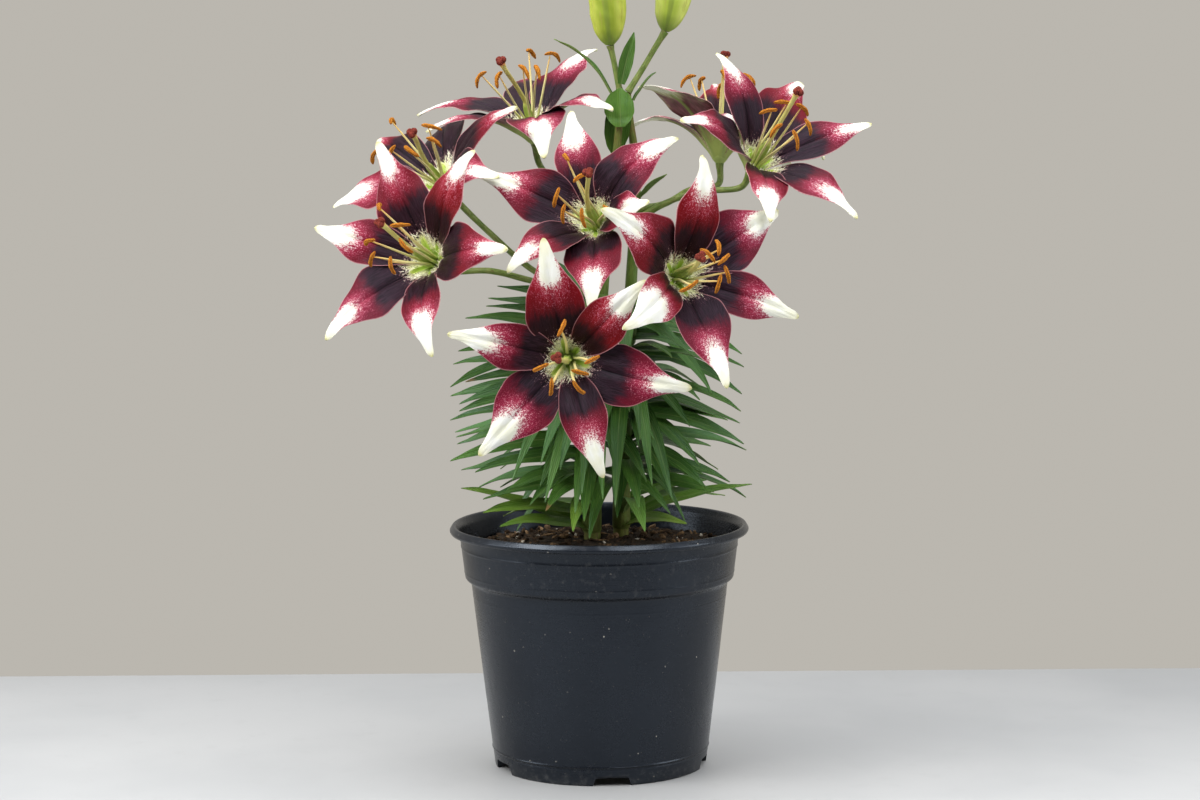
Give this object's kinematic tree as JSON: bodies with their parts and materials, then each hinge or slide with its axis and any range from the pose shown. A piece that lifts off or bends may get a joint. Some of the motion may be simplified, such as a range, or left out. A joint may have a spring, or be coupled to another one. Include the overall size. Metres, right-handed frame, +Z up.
{
  "type": "potted lily plant",
  "caption": "Potted lily in bloom: two leafy stems with open dark crimson flowers tipped ivory white and closed green buds, growing in a round black nursery pot.",
  "frame": {"origin": "centre of the pot's underside, on the surface the pot stands on", "axes": "+Z up along the pot's axis and the stems; -Y is the front, where the lowest open flower faces; +X is to the right seen from the front"},
  "size_m": [0.3096, 0.2463, 0.4784],
  "materials": {
    "pot_plastic": "satin black moulded plastic, dusty and scuffed near the foot",
    "potting_mix": "dark crumbly peat and bark, rough",
    "stem": "smooth green, browner and yellower near the soil",
    "leaf": "satin green with fine lengthwise veins",
    "petal": "satin dark crimson, nearly black at the heart, ivory white at the tip",
    "stamen": "cream filaments with powdery orange anthers",
    "pistil": "waxy yellow green style with a red brown stigma",
    "bud": "waxy yellow green with lighter ribs"
  },
  "bodies": {
    "root": {"pot": "pot_plastic", "potting_soil": "potting_mix", "stem_left": "stem", "leaves_left_tier_1": "leaf", "leaves_left_tier_2": "leaf", "leaves_left_tier_3": "leaf", "leaves_left_tier_4": "leaf", "leaves_left_tier_5": "leaf", "leaves_left_tier_6": "leaf", "leaves_left_tier_7": "leaf", "leaves_left_tier_8": "leaf", "stem_right": "stem", "leaves_right_tier_1": "leaf", "leaves_right_tier_2": "leaf", "leaves_right_tier_3": "leaf", "leaves_right_tier_4": "leaf", "leaves_right_tier_5": "leaf", "leaves_right_tier_6": "leaf", "round_bract": "leaf", "drooping_bract": "leaf", "upright_bract": "leaf", "bent_bract": "leaf", "small_bract": "leaf", "fork_bract": "leaf", "long_bract": "leaf", "low_bract": "leaf", "flower_front_petals": "petal", "flower_front_stamens": "stamen", "flower_front_pistil": "pistil", "flower_left_petals": "petal", "flower_left_stamens": "stamen", "flower_left_pistil": "pistil", "flower_upper_left_petals": "petal", "flower_upper_left_stamens": "stamen", "flower_upper_left_pistil": "pistil", "flower_top_left_petals": "petal", "flower_top_left_stamens": "stamen", "flower_top_left_pistil": "pistil", "flower_middle_petals": "petal", "flower_middle_stamens": "stamen", "flower_middle_pistil": "pistil", "flower_right_petals": "petal", "flower_right_stamens": "stamen", "flower_right_pistil": "pistil", "flower_upper_right_petals": "petal", "flower_upper_right_stamens": "stamen", "flower_upper_right_pistil": "pistil", "flower_back_right_petals": "petal", "flower_back_right_stamens": "stamen", "flower_back_right_pistil": "pistil", "bud_left": "bud", "bud_right": "bud"}
  },
  "joints": []
}
